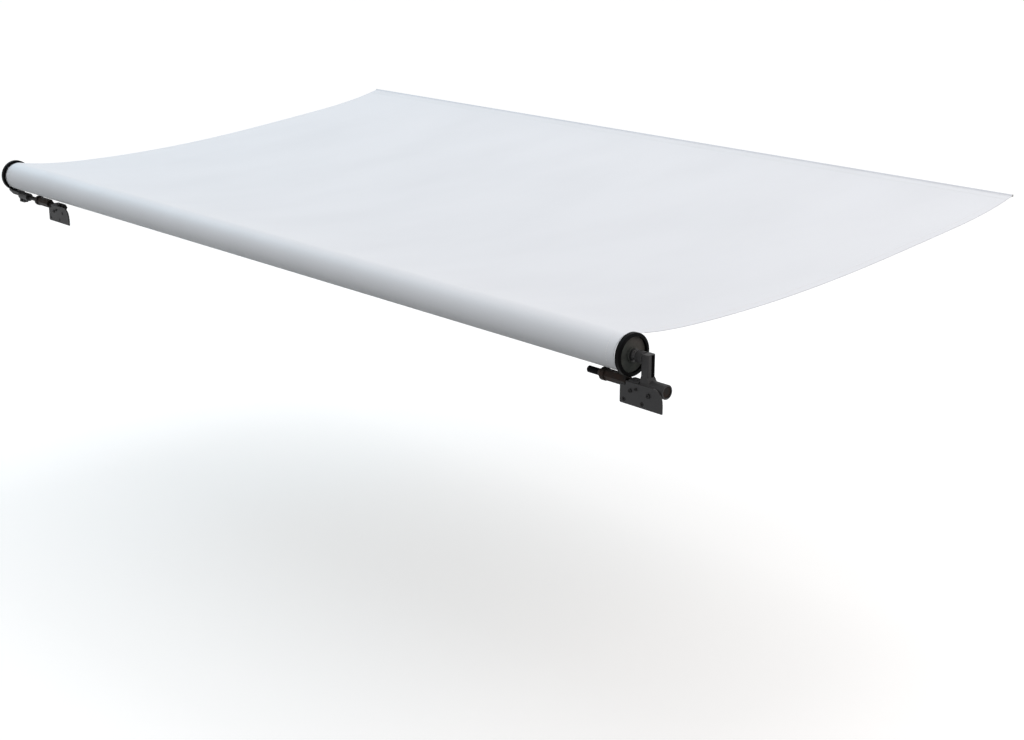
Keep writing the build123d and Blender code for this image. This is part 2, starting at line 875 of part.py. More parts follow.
def pinch_plane(out):
    """Plane in front of the foot's split ear, a distance out from the rod's axis."""
    return wall_plane(foot_left + ear_width / 2, out - roller_back, rod_height - pinch_drop)


arm_out = left_face - arm_gap
arm_side = arm_out - left_post_thickness
leg_top = roller_height - cap_radius - leg_gap
leg_low = leg_top - leg_thickness
with BuildPart() as left_arm:
    with BuildSketch(Plane(origin=(0, roller_back, 0), x_dir=(1, 0, 0), z_dir=(0, -1, 0))) as profile:
        with BuildLine():
            Polyline(
                (arm_side, post_height),
                (arm_out, post_height),
                (arm_out, leg_top),
                (foot_left + rod_gap, leg_top),
                (foot_left + rod_gap, leg_low),
                (left_face + leg_slope_end, leg_low),
                (arm_side, leg_low + leg_slope_rise),
                close=True,
            )
        make_face()
        bend = profile.vertices().filter_by(lambda corner: corner.X > arm_side - rod_gap)
        bend = bend.filter_by(lambda corner: corner.X < left_face + foot_inset - rod_gap)
        fillet(bend.filter_by(lambda corner: corner.Y < post_height - rod_gap), radius=leg_bend)
    extrude(amount=post_width / 2, both=True)
    top = left_arm.edges().filter_by(Axis.X).group_by(Axis.Z)[-1]
    fillet(top, radius=leg_bend)
    with BuildSketch(rod_plane(foot_left)):
        Circle(foot_radius)
        with Locations((0, -ear_drop)):
            Rectangle(ear_depth, ear_drop, align=(Align.CENTER, Align.MIN))
    extrude(amount=ear_width)
    with BuildSketch(rod_plane(foot_left)):
        Circle(foot_radius)
    extrude(amount=foot_length)
    with BuildSketch(rod_plane(foot_left)):
        Circle(rod_radius + rod_clearance)
        Rectangle(ear_slot, ear_drop, align=(Align.CENTER, Align.MAX))
    extrude(amount=foot_length, mode=Mode.SUBTRACT)
    with BuildSketch(pinch_plane(ear_depth / 2)):
        Circle(pinch_radius + screw_clearance)
    extrude(amount=-ear_depth, mode=Mode.SUBTRACT)
    with BuildSketch(end_plane(-1, arm_gap)):
        Rectangle(shaft_square + 2 * square_clearance, shaft_square + 2 * square_clearance)
    extrude(amount=left_socket, mode=Mode.SUBTRACT)
    with BuildSketch(grub_plane("left")):
        Circle(grub_radius)
    extrude(amount=shaft_square / 2 - boss_radius, mode=Mode.SUBTRACT)
write(left_arm.part, "left_arm")

with BuildPart() as pinch_screw:
    with BuildSketch(pinch_plane(ear_depth / 2)):
        Circle(pinch_radius)
    extrude(amount=-ear_depth)
    with BuildSketch(pinch_plane(ear_depth / 2)):
        Circle(pinch_head)
    extrude(amount=pinch_head_height)
    with BuildSketch(pinch_plane(ear_depth / 2 + pinch_head_height)):
        RegularPolygon(pinch_head * socket_ratio, 6)
    extrude(amount=-socket_depth, mode=Mode.SUBTRACT)
write(pinch_screw.part, "pinch_screw")

with BuildPart() as shaft_grub_screws:
    for name in sides:
        with BuildSketch(grub_plane(name).offset(shaft_square / 2 - boss_radius)):
            Circle(grub_radius)
        extrude(amount=grub_length)
        with BuildSketch(grub_plane(name).offset(shaft_square / 2 - boss_radius + grub_length)):
            RegularPolygon(grub_radius * socket_ratio, 6)
        extrude(amount=-socket_depth, mode=Mode.SUBTRACT)
write(shaft_grub_screws.part, "shaft_grub_screws")
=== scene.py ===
import json
import logging
import math
from dataclasses import dataclass, field, replace
from enum import Enum
from typing import Callable, Sequence, Union

import bpy
import numpy as np
from mathutils import Matrix, Vector, noise


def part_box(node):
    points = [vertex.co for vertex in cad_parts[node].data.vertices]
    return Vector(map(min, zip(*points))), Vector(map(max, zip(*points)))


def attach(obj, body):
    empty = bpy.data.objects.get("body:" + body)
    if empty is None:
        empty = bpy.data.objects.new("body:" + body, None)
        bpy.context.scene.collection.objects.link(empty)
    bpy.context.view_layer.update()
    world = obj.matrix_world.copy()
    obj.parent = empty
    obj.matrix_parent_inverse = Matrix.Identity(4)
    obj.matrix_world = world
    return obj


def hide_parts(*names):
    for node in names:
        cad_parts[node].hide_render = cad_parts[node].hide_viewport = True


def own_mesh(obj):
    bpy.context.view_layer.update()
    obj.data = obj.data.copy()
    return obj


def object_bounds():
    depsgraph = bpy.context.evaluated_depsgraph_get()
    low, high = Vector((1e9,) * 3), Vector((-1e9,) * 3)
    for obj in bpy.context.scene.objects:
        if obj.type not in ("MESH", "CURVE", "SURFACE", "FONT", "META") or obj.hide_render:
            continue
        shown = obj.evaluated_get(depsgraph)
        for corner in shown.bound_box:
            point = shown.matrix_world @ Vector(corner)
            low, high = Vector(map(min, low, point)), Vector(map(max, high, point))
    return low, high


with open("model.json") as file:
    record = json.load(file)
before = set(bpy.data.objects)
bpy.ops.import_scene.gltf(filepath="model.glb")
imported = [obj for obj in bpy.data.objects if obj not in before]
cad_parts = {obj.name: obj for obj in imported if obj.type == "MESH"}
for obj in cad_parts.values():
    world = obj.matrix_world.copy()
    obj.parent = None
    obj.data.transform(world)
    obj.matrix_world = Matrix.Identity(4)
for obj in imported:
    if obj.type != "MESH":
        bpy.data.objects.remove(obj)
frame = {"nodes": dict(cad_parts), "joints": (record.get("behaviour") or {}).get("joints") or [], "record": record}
cad_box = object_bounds()

log = logging.getLogger("slide_topper")

MM = 0.001

Colour = tuple[float, float, float]
Point = tuple[float, float]


class Body(str, Enum):
    """Bodies of the frame that a piece can ride on."""

    BRACKETS = "brackets"
    ROLLER = "roller"
    WALL_EDGE = "wall_edge"


class Slot(str, Enum):
    """Material slots of the record."""

    BLACK_ALUMINIUM = "black_aluminium"
    CASTING = "casting_grey"
    CAP_PLASTIC = "cap_plastic"
    TUBE = "tube_aluminium"
    STEEL = "steel"
    DARK_STEEL = "dark_steel"
    ZINC = "zinc_screw"
    BUSH = "bush_plastic"
    VINYL = "white_vinyl"
    ROPE = "rope"


# Shader maths

class Wire:
    """One socket of a shader, which can be used in plain arithmetic."""

    def __init__(self, graph: "Graph", socket: bpy.types.NodeSocket) -> None:
        """Keep the socket and the graph that it belongs to.

        Args:
            graph: The graph that new nodes are added to.
            socket: The output socket that this wire stands for.
        """
        self.graph = graph
        self.socket = socket

    def calculate(self, operation: str, *operands: "Operand") -> "Wire":
        """Add one Math node.

        Args:
            operation: The Math node's operation.
            operands: Its inputs, in order.

        Returns:
            The node's result.
        """
        return self.graph.node("ShaderNodeMath", {"operation": operation}, dict(enumerate(operands)))

    def __add__(self, other: "Operand") -> "Wire":
        """Sum of the two."""
        return self.calculate("ADD", self, other)

    def __radd__(self, other: "Operand") -> "Wire":
        """Sum of the two."""
        return self.calculate("ADD", other, self)

    def __sub__(self, other: "Operand") -> "Wire":
        """This less the other."""
        return self.calculate("SUBTRACT", self, other)

    def __rsub__(self, other: "Operand") -> "Wire":
        """The other less this."""
        return self.calculate("SUBTRACT", other, self)

    def __mul__(self, other: "Operand") -> "Wire":
        """Product of the two."""
        return self.calculate("MULTIPLY", self, other)

    def __rmul__(self, other: "Operand") -> "Wire":
        """Product of the two."""
        return self.calculate("MULTIPLY", other, self)

    def __gt__(self, other: "Operand") -> "Wire":
        """1 where this is the greater one, otherwise 0."""
        return self.calculate("GREATER_THAN", self, other)

    def root(self) -> "Wire":
        """Square root."""
        return self.calculate("SQRT", self)

    def wave(self) -> "Wire":
        """Sine."""
        return self.calculate("SINE", self)

    def clipped(self) -> "Wire":
        """Held between 0 and 1."""
        return self.graph.node("ShaderNodeClamp", {}, {"Value": self})


Operand = Union[Wire, float]


class Graph:
    """Node graph that feeds one shader."""

    EDGE_RANGE = (0.01, 0.14)

    def __init__(self, tree: bpy.types.NodeTree, shader: str = "Principled BSDF") -> None:
        """Take up a tree with its shader.

        Args:
            tree: The node tree of a material or world.
            shader: Name of the shader node that it feeds.
        """
        self.tree = tree
        self.surface = tree.nodes[shader]

    @staticmethod
    def paint(name: str) -> tuple[bpy.types.Material, "Graph"]:
        """Make a new material.

        Args:
            name: The material's name.

        Returns:
            The material and its graph.
        """
        material = bpy.data.materials.new(name)
        material.use_nodes = True
        return material, Graph(material.node_tree)

    def node(self, kind: str, settings: dict, inputs: dict, out: Union[int, str] = 0) -> Wire:
        """Add a node of any type.

        Args:
            kind: The node's type.
            settings: Its properties, and under "stops" the places and greys of its ramp.
            inputs: Values or wires by socket name or number.
            out: The output that is wanted.

        Returns:
            That output as a wire.
        """
        made = self.tree.nodes.new(kind)
        for key, value in settings.items():
            if key == "stops":
                for element, (place, grey) in zip(made.color_ramp.elements, value):
                    element.position = place
                    element.color = (grey, grey, grey, 1.0)
            else:
                setattr(made, key, value)
        for key, value in inputs.items():
            self.feed(made.inputs[key], value)
        return Wire(self, made.outputs[out])

    def feed(self, socket: bpy.types.NodeSocket, value: Union[Operand, Sequence[float]]) -> None:
        """Link a wire to a socket, or set its value.

        Args:
            socket: The input socket.
            value: A wire, a number, or the numbers of a colour or vector.
        """
        if isinstance(value, Wire):
            self.tree.links.new(value.socket, socket)
        elif isinstance(value, (int, float)):
            socket.default_value = value
        else:
            size = len(socket.default_value)
            socket.default_value = (*value, 1.0)[:size]

    def set(self, **sockets: Union[Operand, Sequence[float]]) -> None:
        """Feed the surface's sockets, with underscores for the spaces in their names."""
        for name, value in sockets.items():
            self.feed(self.surface.inputs[name.replace("_", " ").title().replace("Ior", "IOR")], value)

    def position(self) -> Wire:
        """Place on the piece, in metres in the frame at rest."""
        return self.node("ShaderNodeTexCoord", {}, {}, "Object")

    def part(self, vector: Wire, axis: str) -> Wire:
        """One of a vector's three numbers."""
        return self.node("ShaderNodeSeparateXYZ", {}, {0: vector}, axis)

    def stretched(self, vector: Wire, scale: Sequence[float]) -> Wire:
        """A vector with each of its numbers scaled."""
        return self.node("ShaderNodeVectorMath", {"operation": "MULTIPLY"}, {0: vector, 1: scale})

    def grain(self, vector: Wire, size: float, detail: float = 2.0) -> Wire:
        """Noise from 0 to 1.

        Args:
            vector: The place that it is read at.
            size: Width of a speckle in metres.
            detail: Number of finer layers.

        Returns:
            The noise.
        """
        return self.node("ShaderNodeTexNoise", {}, {"Vector": vector, "Scale": 1 / size, "Detail": detail})

    def ramp(self, value: Operand, low: float, high: float) -> Wire:
        """0 up to a low value, 1 from a high one, and even in between."""
        return self.node("ShaderNodeValToRGB", {"stops": ((low, 0.0), (high, 1.0))}, {"Fac": value})

    def mixed(self, share: Operand, first: Union[Wire, Colour], second: Union[Wire, Colour]) -> Wire:
        """Mix of two colours.

        Args:
            share: Share of the second one.
            first: The colour at 0.
            second: The colour at 1.

        Returns:
            The mixed colour.
        """
        settings = {"data_type": "RGBA"}
        return self.node("ShaderNodeMix", settings, {0: share, 6: first, 7: second}, 2)

    def relief(self, height: Operand, depth: float, under: Union[Wire, None] = None) -> Wire:
        """Normal of a surface with a fine relief.

        Args:
            height: Height from 0 to 1.
            depth: Depth of the relief in metres.
            under: Normal that the relief lies on.

        Returns:
            The normal.
        """
        inputs: dict = {"Height": height, "Distance": depth, "Strength": 1.0}
        if under is not None:
            inputs["Normal"] = under
        return self.node("ShaderNodeBump", {}, inputs, "Normal")

    def rounded(self, radius: float) -> Wire:
        """Normal of a surface whose edges are broken to a radius."""
        return self.node("ShaderNodeBevel", {"samples": 6}, {"Radius": radius})

    def edges(self, softened: Wire) -> Wire:
        """1 on an edge and 0 away from it, from the normal with broken edges."""
        plain = self.node("ShaderNodeNewGeometry", {}, {}, "Normal")
        both = {0: softened, 1: plain}
        agreement = self.node("ShaderNodeVectorMath", {"operation": "DOT_PRODUCT"}, both, "Value")
        return self.ramp(1.0 - agreement, *self.EDGE_RANGE)


# Finishes

@dataclass(frozen=True)
class Finish:
    """A surface finish of one colour, with a fine speckle and slightly uneven patches."""

    name: str
    colour: Colour
    roughness: float = 0.5
    metallic: float = 0.0
    speckle: float = 0.8 * MM
    relief: float = 0.03 * MM
    tone: float = 0.25
    specular: float = 0.5
    patch: float = 60 * MM

    def build(self) -> bpy.types.Material:
        """Make the material.

        Returns:
            The new material.
        """
        material, graph = Graph.paint(self.name)
        graph.set(specular_ior_level=self.specular)
        self.shade(graph)
        return material

    def toned(self, share: float) -> Colour:
        """The colour at a share of its brightness."""
        red, green, blue = self.colour
        return red * share, green * share, blue * share

    def tones(self, graph: Graph, share: Wire) -> Wire:
        """The colour between its darkest tone and its palest, by a share."""
        return graph.mixed(share, self.toned(1 - self.tone), self.toned(1 + self.tone))

    def shade(self, graph: Graph) -> None:
        """Feed the surface from the finish's values."""
        place = graph.position()
        patches = graph.grain(place, self.patch, 3.0)
        speckles = graph.grain(place, self.speckle, 3.0)
        graph.set(
            base_color=self.tones(graph, patches * 0.7 + speckles * 0.3),
            roughness=(self.roughness - 0.08 + 0.16 * patches).clipped(),
            metallic=self.metallic,
            normal=graph.relief(speckles, self.relief),
        )


@dataclass(frozen=True)
class PaintedCasting(Finish):
    """Powder paint on a sand-blasted casting, thin and pale where edges rub."""

    worn: Colour = (0.13, 0.13, 0.135)
    edge_radius: float = 0.8 * MM
    wear: float = 0.75
    patch: float = 26 * MM
    rubbed_patch: float = 5 * MM

    def shade(self, graph: Graph) -> None:
        """Feed the surface: peel, patches of dust and worn edges."""
        place = graph.position()
        softened = graph.rounded(self.edge_radius)
        peel = graph.grain(place, self.speckle, 2.0)
        patches = graph.grain(place, self.patch, 4.0)
        rubbed = graph.ramp(graph.grain(place, self.rubbed_patch, 4.0), 0.42, 0.62)
        bare = (graph.edges(softened) * rubbed * self.wear).clipped()
        graph.set(
            base_color=graph.mixed(bare, self.tones(graph, patches), self.worn),
            roughness=(self.roughness - 0.1 + 0.2 * patches - 0.12 * bare).clipped(),
            metallic=bare * 0.6,
            normal=graph.relief(peel, self.relief, softened),
        )


@dataclass(frozen=True)
class MouldedCap(Finish):
    """Black moulded plastic: a smooth dark rim round a greyer, textured face, which has a painted highlight that
    makes it lighter and browner towards its upper back.
    """

    centre: Point = (0.0, 0.0)
    rim_radius: float = 0.0
    rim: Colour = (0.003, 0.003, 0.0035)
    # Colour of the painted highlight on the face, and how far across the face it spreads.
    bloom: Colour = (0.13, 0.112, 0.104)
    painted_highlight_reach: float = 50 * MM
    edge_radius: float = 0.8 * MM
    patch: float = 18 * MM

    def shade(self, graph: Graph) -> None:
        """Feed the surface by its distance from the roller's axis."""
        place = graph.position()
        softened = graph.rounded(self.edge_radius)
        across = graph.part(place, "Y") - self.centre[0]
        above = graph.part(place, "Z") - self.centre[1]
        on_rim = (across * across + above * above).root() > self.rim_radius
        texture = graph.grain(place, self.speckle, 3.0)
        dust = graph.ramp(graph.grain(place, self.patch, 5.0), 0.35, 0.75)
        # Painted highlight: the face is painted lighter and browner towards its upper back, broken up by the dust
        # patches.
        painted_highlight = graph.ramp((across + above) * (1 / self.painted_highlight_reach), 0.0, 1.0)
        face = graph.mixed(painted_highlight * (0.5 + 0.5 * dust), self.tones(graph, dust), self.bloom)
        graph.set(
            base_color=graph.mixed(on_rim, face, self.rim),
            roughness=(self.roughness + 0.12 * dust - 0.1 * on_rim).clipped(),
            normal=graph.relief(texture * (1.0 - 0.7 * on_rim), self.relief, softened),
        )


@dataclass(frozen=True)
class DrawnMetal(Finish):
    """Drawn or extruded metal, with fine lines along X."""

    line_length: float = 120 * MM
    line_width: float = 0.35 * MM
    edge_radius: float = 0.4 * MM
    patch: float = 35 * MM

    def shade(self, graph: Graph) -> None:
        """Feed the surface: long thin lines and a little dullness in patches."""
        place = graph.position()
        thin = 1 / self.line_width
        lines = graph.grain(graph.stretched(place, (1 / self.line_length, thin, thin)), 1.0, 2.0)
        patches = graph.grain(place, self.patch, 4.0)
        graph.set(
            base_color=graph.mixed(lines * 0.5 + patches * 0.5, self.toned(1 - self.tone), self.colour),
            roughness=(self.roughness - 0.08 + 0.12 * lines + 0.1 * patches).clipped(),
            metallic=self.metallic,
            normal=graph.relief(lines, self.relief, graph.rounded(self.edge_radius)),
        )


@dataclass(frozen=True)
class OxideSteel(Finish):
    """Dark oxide steel that has browned in patches and shines on its edges."""

    brown: Colour = (0.026, 0.015, 0.011)
    bare: Colour = (0.06, 0.052, 0.048)
    edge_radius: float = 0.5 * MM
    patch: float = 14 * MM

    def shade(self, graph: Graph) -> None:
        """Feed the surface: brown bloom, pits and bright edges."""
        place = graph.position()
        softened = graph.rounded(self.edge_radius)
        bloom = graph.ramp(graph.grain(place, self.patch, 5.0), 0.35, 0.65)
        pits = graph.grain(place, self.speckle, 4.0)
        edge = (graph.edges(softened) * 0.5).clipped()
        oxide = graph.mixed(bloom, self.colour, self.brown)
        graph.set(
            base_color=graph.mixed(edge, oxide, self.bare),
            roughness=(self.roughness + 0.15 * bloom - 0.15 * edge).clipped(),
            metallic=self.metallic,
            normal=graph.relief(pits, self.relief, softened),
        )


@dataclass(frozen=True)
class CoatedCloth(Finish):
    """Vinyl-coated cloth whose weave prints through the coating."""

    thread: float = 1.1 * MM
    soil: float = 0.04
    patch: float = 220 * MM

    def shade(self, graph: Graph) -> None:
        """Feed the surface: weave, faint soiling and a slightly uneven gloss."""
        along = graph.node("ShaderNodeAttribute", {"attribute_name": Cloth.MAP}, {}, "Vector")
        pitch = 2 * math.pi / self.thread
        warp = (graph.part(along, "X") * pitch).wave()
        weft = (graph.part(along, "Y") * pitch).wave()
        weave = warp * weft * 0.25 + 0.5
        coating = graph.grain(along, self.speckle, 2.0)
        drawn = graph.stretched(along, (1.0, 0.4, 1.0))
        soil = graph.ramp(graph.grain(drawn, self.patch, 4.0), 0.4, 0.8)
        graph.set(
            base_color=graph.mixed(soil, self.colour, self.toned(1 - self.soil)),
            roughness=(self.roughness + 0.1 * coating + 0.05 * soil).clipped(),
            normal=graph.relief(weave * 0.7 + coating * 0.3, self.relief),
        )


@dataclass(frozen=True)
class LaidRope(Finish):
    """Plastic rope whose fibres lie along it."""

    fibres_per_metre: tuple[float, float, float] = (120.0, 900.0, 900.0)

    def shade(self, graph: Graph) -> None:
        """Feed the surface: fine fibres, some of them darker."""
        place = graph.position()
        fibres = graph.grain(graph.stretched(place, self.fibres_per_metre), 1.0, 3.0)
        graph.set(
            base_color=graph.mixed(fibres, self.toned(1 - self.tone), self.colour),
            roughness=self.roughness,
            normal=graph.relief(fibres, self.relief),
        )


# Meshes

@dataclass
class MeshDraft:
    """Points and faces of a piece while it is being made."""

    points: list[Vector] = field(default_factory=list)
    faces: list[Sequence[int]] = field(default_factory=list)
    finishes: list[int] = field(default_factory=list)
    cloth: list[tuple[float, float, float]] = field(default_factory=list)

    def add(self, point: Vector, cloth: Point = (0.0, 0.0)) -> int:
        """Add a point.

        Args:
            point: Its place in metres.
            cloth: Its place on the flat cloth, across and along.

        Returns:
            Its number.
        """
        self.points.append(point)
        self.cloth.append((*cloth, 0.0))
        return len(self.points) - 1

    def face(self, corners: Sequence[int], finish: int = 0) -> None:
        """Add a face with the number of its finish."""
        self.faces.append(tuple(corners))
        self.finishes.append(finish)

    def bridge(self, first: Sequence[int], second: Sequence[int], closed: bool, finish: int = 0) -> None:
        """Join two rows of points with faces.

        Args:
            first: Numbers of the first row.
            second: Numbers of the second row.
            closed: Whether the rows run round in a ring.
            finish: Number of the faces' finish.
        """
        count = len(first)
        for i in range(count if closed else count - 1):
            j = (i + 1) % count
            self.face((first[i], first[j], second[j], second[i]), finish)

    def loft(self, rings: Sequence[Sequence[int]]) -> None:
        """Join rings of points in turn and close both ends.

        Args:
            rings: The rings, each anticlockwise as seen from beyond the last one.
        """
        for first, second in zip(rings, rings[1:]):
            self.bridge(first, second, closed=True)
        self.face(list(reversed(rings[0])))
        self.face(rings[-1])

    def shell(self, outer: Sequence[Sequence[int]], inner: Sequence[Sequence[int]]) -> None:
        """Close the two faces of a cloth into one skin.

        Args:
            outer: Rows on its outer face, each from left to right, upwards as seen from outside.
            inner: The same rows on its inner face, which takes the second finish.
        """
        for i in range(len(outer) - 1):
            self.bridge(outer[i], outer[i + 1], closed=False)
            self.bridge(inner[i + 1], inner[i], closed=False, finish=1)
        sides = [[[row[end] for row in rows] for rows in (outer, inner)] for end in (0, -1)]
        self.bridge(sides[0][0], sides[0][1], closed=False)
        self.bridge(sides[1][1], sides[1][0], closed=False)
        self.bridge(inner[0], outer[0], closed=False)
        self.bridge(outer[-1], inner[-1], closed=False)

    def row(self, xs: Sequence[float], spot: Vector, along: float) -> list[int]:
        """Add a row of points along the roller.

        Args:
            xs: Places along the roller.
            spot: The row's place in the side view, at X = 0.
            along: Distance along the flat cloth.

        Returns:
            The points' numbers.
        """
        return [self.add(spot + Vector((x, 0, 0)), (x, along)) for x in xs]

    def ring(self, centre: Vector, depth: float, sides: int, size: Callable[[float], float]) -> list[int]:
        """Add a ring of points round an axis along Y.

        Args:
            centre: A point on the axis.
            depth: Distance of the ring behind it.
            sides: Number of points.
            size: Radius at an angle round the axis.

        Returns:
            The points' numbers.
        """
        made = []
        for i in range(sides):
            angle = 2 * math.pi * i / sides
            radius = size(angle)
            spot = Vector((radius * math.cos(angle), depth, radius * math.sin(angle)))
            made.append(self.add(centre + spot))
        return made

    def piece(
        self, name: str, materials: Sequence[bpy.types.Material], smooth: float = 40.0
    ) -> bpy.types.Object:
        """Make the object.

        Args:
            name: The piece's name.
            materials: Its finishes, by number.
            smooth: Largest angle between faces that still shades smooth, in degrees.

        Returns:
            The new object.
        """
        mesh = bpy.data.meshes.new(name)
        mesh.from_pydata(self.points, [], self.faces)
        for material in materials:
            mesh.materials.append(material)
        mesh.polygons.foreach_set("material_index", self.finishes)
        layer = mesh.attributes.new(Cloth.MAP, "FLOAT_VECTOR", "POINT")
        layer.data.foreach_set("vector", np.array(self.cloth, np.float32).ravel())
        mesh.validate()
        made = bpy.data.objects.new(name, mesh)
        bpy.context.scene.collection.objects.link(made)
        mesh.shade_smooth()
        mesh.set_sharp_from_angle(angle=math.radians(smooth))
        return made


def settle(piece: bpy.types.Object, body: Body, slot: Slot, *nodes: str) -> bpy.types.Object:
    """Put a finished piece in its place in the frame and log it.

    Args:
        piece: The piece.
        body: The body that it rides on.
        slot: The record's slot that it takes its finish from; not used.
        nodes: The CAD nodes that it stands for.

    Returns:
        The piece.
    """
    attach(piece, body.value)
    if nodes:
        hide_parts(*nodes)
    log.info("%s: %d faces", piece.name, len(piece.data.polygons))
    return piece


# Cloth

@dataclass(frozen=True)
class SagLine:
    """Side view of the cloth from the roll to the wall hem, measured from the roller's axis."""

    roll_radius: float
    reach: float
    leave_angle: float = math.radians(11)
    hem_pitch: float = math.radians(14)
    hem_radius: float = 3.3 * MM
    hem_tail: float = 28 * MM
    rise: float = 129 * MM
    cloth: float = 0.5 * MM
    gap: float = 0.3 * MM
    knots: tuple[Point, ...] = ((0.240, 0.0203), (0.650, 0.0346), (1.060, 0.076))
    span_steps: int = 200

    @property
    def hem_centre(self) -> Point:
        """Centre of the hem's rope."""
        return self.reach - self.hem_radius, self.rise

    @property
    def start(self) -> Point:
        """Where the cloth's middle leaves the roll."""
        radius = self.roll_radius + self.gap + self.cloth / 2
        return radius * math.sin(self.leave_angle), radius * math.cos(self.leave_angle)

    @property
    def end(self) -> Point:
        """Where the cloth's middle meets the hem's tail."""
        back = self.hem_radius + self.hem_tail + self.gap
        across, up = self.hem_centre
        return across - back * math.cos(self.hem_pitch), up - back * math.sin(self.hem_pitch)

    def curve(self, count: int) -> tuple[np.ndarray, np.ndarray, np.ndarray]:
        """Points along the line at even steps.

        Args:
            count: Number of points.

        Returns:
            The points, their normals and their distance along the cloth.
        """
        knots = np.array([self.start, *self.knots, self.end])
        spans = np.hypot(*np.diff(knots, axis=0).T)
        slopes = np.zeros_like(knots)
        slopes[0] = math.cos(self.leave_angle), -math.sin(self.leave_angle)
        slopes[-1] = math.cos(self.hem_pitch), math.sin(self.hem_pitch)
        system = np.eye(len(knots))
        right = slopes.copy()
        for i in range(1, len(knots) - 1):
            before, after = spans[i - 1], spans[i]
            system[i, i - 1 : i + 2] = after, 2 * (before + after), before
            rise_before = (knots[i] - knots[i - 1]) / before
            rise_after = (knots[i + 1] - knots[i]) / after
            right[i] = 3 * (after * rise_before + before * rise_after)
        slopes = np.linalg.solve(system, right)
        dense = []
        for i, span in enumerate(spans):
            for t in np.linspace(0, 1, self.span_steps, endpoint=i == len(spans) - 1):
                a, b = 2 * t**3 - 3 * t**2 + 1, t**3 - 2 * t**2 + t
                c, d = 3 * t**2 - 2 * t**3, t**3 - t**2
                leaving = a * knots[i] + b * span * slopes[i]
                dense.append(leaving + c * knots[i + 1] + d * span * slopes[i + 1])
        dense = np.array(dense)
        lengths = np.concatenate([[0], np.cumsum(np.hypot(*np.diff(dense, axis=0).T))])
        along = np.linspace(0, lengths[-1], count)
        points = np.column_stack([np.interp(along, lengths, dense[:, k]) for k in (0, 1)])
        ways = np.gradient(points, axis=0)
        ways /= np.hypot(*ways.T)[:, None]
        return points, np.column_stack([-ways[:, 1], ways[:, 0]]), along


@dataclass
class StitchRow:
    """A row of lock stitches laid on a surface.

    Each section gives a ring's place along the stitch, its thickness and its height, as shares.
    """

    length: float = 4.6 * MM
    pitch: float = 6.0 * MM
    radius: float = 0.35 * MM
    sides: int = 5
    ahead: float = 0.2 * MM
    sections: tuple[tuple[float, float, float], ...] = (
        (-0.5, 0.45, -0.6), (-0.22, 1.0, 0.35), (0.22, 1.0, 0.35), (0.5, 0.45, -0.6),
    )

    def lay(self, draft: MeshDraft, places: Callable[[float], tuple[Vector, Vector]], run: float) -> None:
        """Lay the row.

        Args:
            draft: The mesh that takes the stitches.
            places: Gives a point and its outward normal at a distance along the row.
            run: Length of the row.
        """
        for i in range(int(run / self.pitch)):
            middle = (i + 0.5) * self.pitch
            rings = []
            for share, size, lift in self.sections:
                centre, normal = places(middle + share * self.length)
                ahead = places(middle + share * self.length + self.ahead)[0]
                side = (ahead - centre).normalized().cross(normal)
                centre = centre + normal * (lift * self.radius)
                ring = []
                for k in range(self.sides):
                    turn = 2 * math.pi * k / self.sides
                    spoke = side * math.cos(turn) + normal * math.sin(turn)
                    ring.append(draft.add(centre + spoke * (self.radius * size)))
                rings.append(ring)
            draft.loft(rings[::-1])


@dataclass(frozen=True)
class Span:
    """A length of the open sheet, held at one edge."""

    name: str
    body: Body
    first: int
    last: int
    held: np.ndarray
    moved: np.ndarray
    shift: np.ndarray

    def gather(self, piece: bpy.types.Object, joint: str, axis: Vector, *nodes: str) -> bpy.types.Object:
        """Let a piece ride with the held edge.

        Args:
            piece: A piece of this span.
            joint: The joint that shortens the cover; not used.
            axis: The roller's axis, from which the side view is measured; not used.
            nodes: The CAD nodes that the piece stands for.

        Returns:
            The piece.
        """
        length = float(np.hypot(*self.shift))
        way = self.shift / length
        keep = 1 - length / abs(float((self.moved - self.held) @ way))
        settle(piece, self.body, Slot.VINYL, *nodes)
        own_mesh(piece)
        return piece


